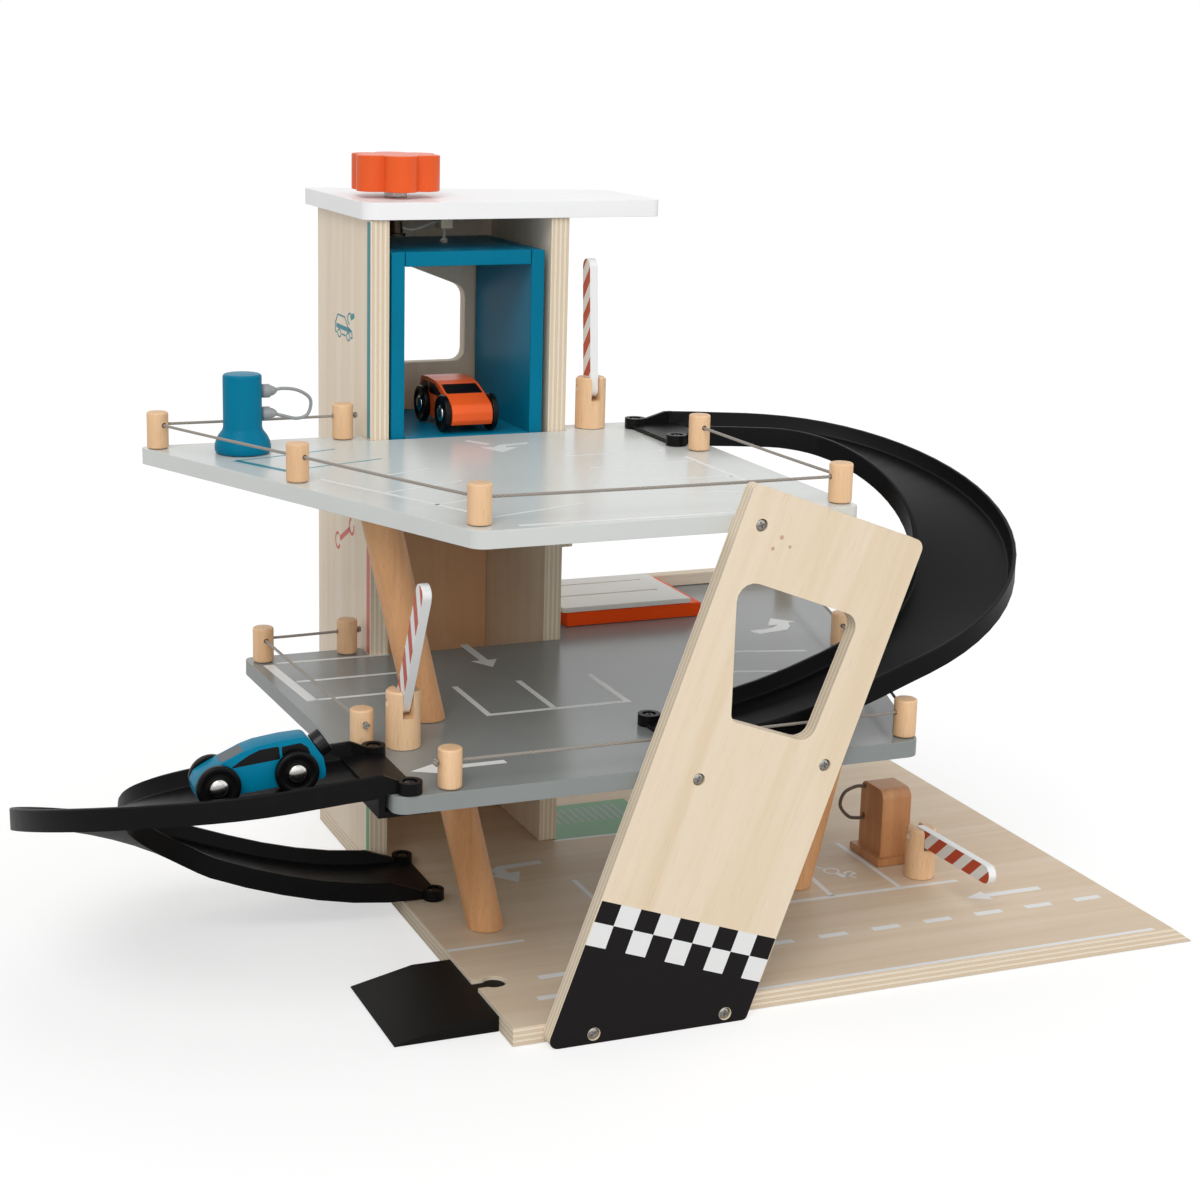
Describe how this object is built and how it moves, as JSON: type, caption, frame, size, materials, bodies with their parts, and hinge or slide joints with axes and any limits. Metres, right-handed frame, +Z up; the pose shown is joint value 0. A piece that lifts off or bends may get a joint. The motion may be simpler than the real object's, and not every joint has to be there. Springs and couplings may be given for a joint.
{
  "type": "toy parking garage",
  "caption": "Wooden toy parking garage with a winch lift, two decks, curved car tracks, barriers, a leaning front panel and small cars.",
  "frame": {"origin": "centre of the base board's underside", "axes": "+Z up; +X to the right seen from the front, along the base board's front edge; +Y toward the lift tower at the back"},
  "size_m": [0.6365, 0.3722, 0.4243],
  "materials": {
    "beech": "solid beech, clear matt lacquer",
    "birch_plywood": "natural birch plywood with a clear matt lacquer",
    "cord_brown": "dark waxed cord",
    "cord_grey": "braided grey cord",
    "deck_light_grey": "plywood painted light grey, satin",
    "deck_mid_grey": "plywood painted mid grey, satin",
    "paint_black": "wood painted black, satin",
    "paint_blue": "wood painted teal blue, satin",
    "paint_orange": "wood painted orange, satin",
    "paint_white": "wood painted white, with printed red stripes on the arms",
    "plastic_black": "moulded black plastic, lightly grained",
    "roof_white": "plywood painted white, satin"
  },
  "bodies": {
    "garage": {"base_board": "birch_plywood", "tower_left_wall": "birch_plywood", "tower_right_wall": "birch_plywood", "tower_back_wall": "birch_plywood", "roof_board": "roof_white", "cord_guide_block": "beech", "winch_cord": "cord_grey", "lift_cord": "cord_grey", "upper_deck": "deck_light_grey", "middle_deck": "deck_mid_grey", "deck_batten": "birch_plywood", "kerb_strip": "birch_plywood", "upper_post_tower": "beech", "upper_post_corner": "beech", "upper_post_left": "beech", "upper_post_front": "beech", "upper_post_right": "beech", "upper_post_track": "beech", "upper_cord": "cord_grey", "middle_post_wall": "beech", "middle_post_corner": "beech", "middle_post_left": "beech", "middle_post_front": "beech", "middle_post_right": "beech", "middle_post_side": "beech", "middle_post_back": "beech", "middle_cord_left": "cord_grey", "middle_cord_right": "cord_grey", "pillar_lower_left": "beech", "pillar_lower_right": "beech", "pillar_upper_left": "beech", "front_panel": "birch_plywood", "right_track": "plastic_black", "left_track": "plastic_black", "barrier_upper_post": "beech", "barrier_middle_post": "beech", "barrier_base_post": "beech", "charger_post": "paint_blue", "charger_cable": "cord_grey", "fuel_pump": "beech", "pump_hose": "cord_brown", "service_frame": "paint_orange"},
    "cabin": {"cabin_left_side": "paint_blue", "cabin_right_side": "paint_blue", "cabin_top": "paint_blue", "cabin_floor": "paint_blue"},
    "winch": {"winch_knob": "paint_orange", "winch_spindle": "beech"},
    "upper_arm": {"barrier_upper_arm": "paint_white"},
    "middle_arm": {"barrier_middle_arm": "paint_white"},
    "base_arm": {"barrier_base_arm": "paint_white"},
    "ramp": {"entry_ramp": "paint_black"},
    "plate": {"service_plate": "paint_white"},
    "blue_car": {"blue_car_body": "paint_blue", "blue_car_magnet": "plastic_black"},
    "blue_rear": {"blue_car_rear_wheels": "plastic_black"},
    "blue_front": {"blue_car_front_wheels": "plastic_black"},
    "orange_car": {"orange_car_body": "paint_orange"},
    "orange_rear": {"orange_car_rear_wheels": "plastic_black"},
    "orange_front": {"orange_car_front_wheels": "plastic_black"}
  },
  "joints": [
    {"name": "cabin_lift", "type": "slide", "parent": "garage", "child": "cabin", "axis": [0, 0, 1], "range_m": [-0.2474, 0], "deforming": ["lift_cord"]},
    {"name": "winch_turn", "type": "hinge", "parent": "garage", "child": "winch", "pos_m": [-0.1773, 0.109, 0.4038], "axis": [0, 0, 1], "range_deg": [-2675.5, 0]},
    {"name": "upper_arm_pivot", "type": "hinge", "parent": "garage", "child": "upper_arm", "pos_m": [-0.0665, 0.074, 0.2894], "axis": [1, 0, 0], "range_deg": [0, 93]},
    {"name": "middle_arm_pivot", "type": "hinge", "parent": "garage", "child": "middle_arm", "pos_m": [-0.2395, -0.0985, 0.162], "axis": [1, 0, 0], "range_deg": [-30, 61.5]},
    {"name": "base_arm_pivot", "type": "hinge", "parent": "garage", "child": "base_arm", "pos_m": [0.0975, -0.057, 0.0353], "axis": [1, 0, 0], "range_deg": [-95, 0]},
    {"name": "ramp_lift_off", "type": "slide", "parent": "garage", "child": "ramp", "axis": [0, 0, 1], "range_m": [0, 0.03]},
    {"name": "plate_lift_off", "type": "slide", "parent": "garage", "child": "plate", "axis": [0, 0, 1], "range_m": [0, 0.03]},
    {"name": "blue_car_lift_off", "type": "slide", "parent": "garage", "child": "blue_car", "axis": [0, 0, 1], "range_m": [0, 0.06]},
    {"name": "blue_rear_spin", "type": "hinge", "parent": "blue_car", "child": "blue_rear", "pos_m": [-0.30982, -0.14278, 0.14856], "axis": [-0.0192, -0.9998, 0], "continuous": true},
    {"name": "blue_front_spin", "type": "hinge", "parent": "blue_car", "child": "blue_front", "pos_m": [-0.34784, -0.14205, 0.14496], "axis": [-0.0192, -0.9998, 0], "continuous": true},
    {"name": "orange_car_roll_out", "type": "slide", "parent": "cabin", "child": "orange_car", "axis": [0, -1, 0], "range_m": [0, 0.07]},
    {"name": "orange_rear_spin", "type": "hinge", "parent": "orange_car", "child": "orange_rear", "pos_m": [-0.143, 0.1169, 0.2771], "axis": [1, 0, 0], "continuous": true},
    {"name": "orange_front_spin", "type": "hinge", "parent": "orange_car", "child": "orange_front", "pos_m": [0, 0, 0], "axis": [1, 0, 0], "continuous": true}
  ],
  "couplings": [
    {"joint": "winch_turn", "follows": "cabin_lift", "rad_per_m": 188.68}
  ]
}
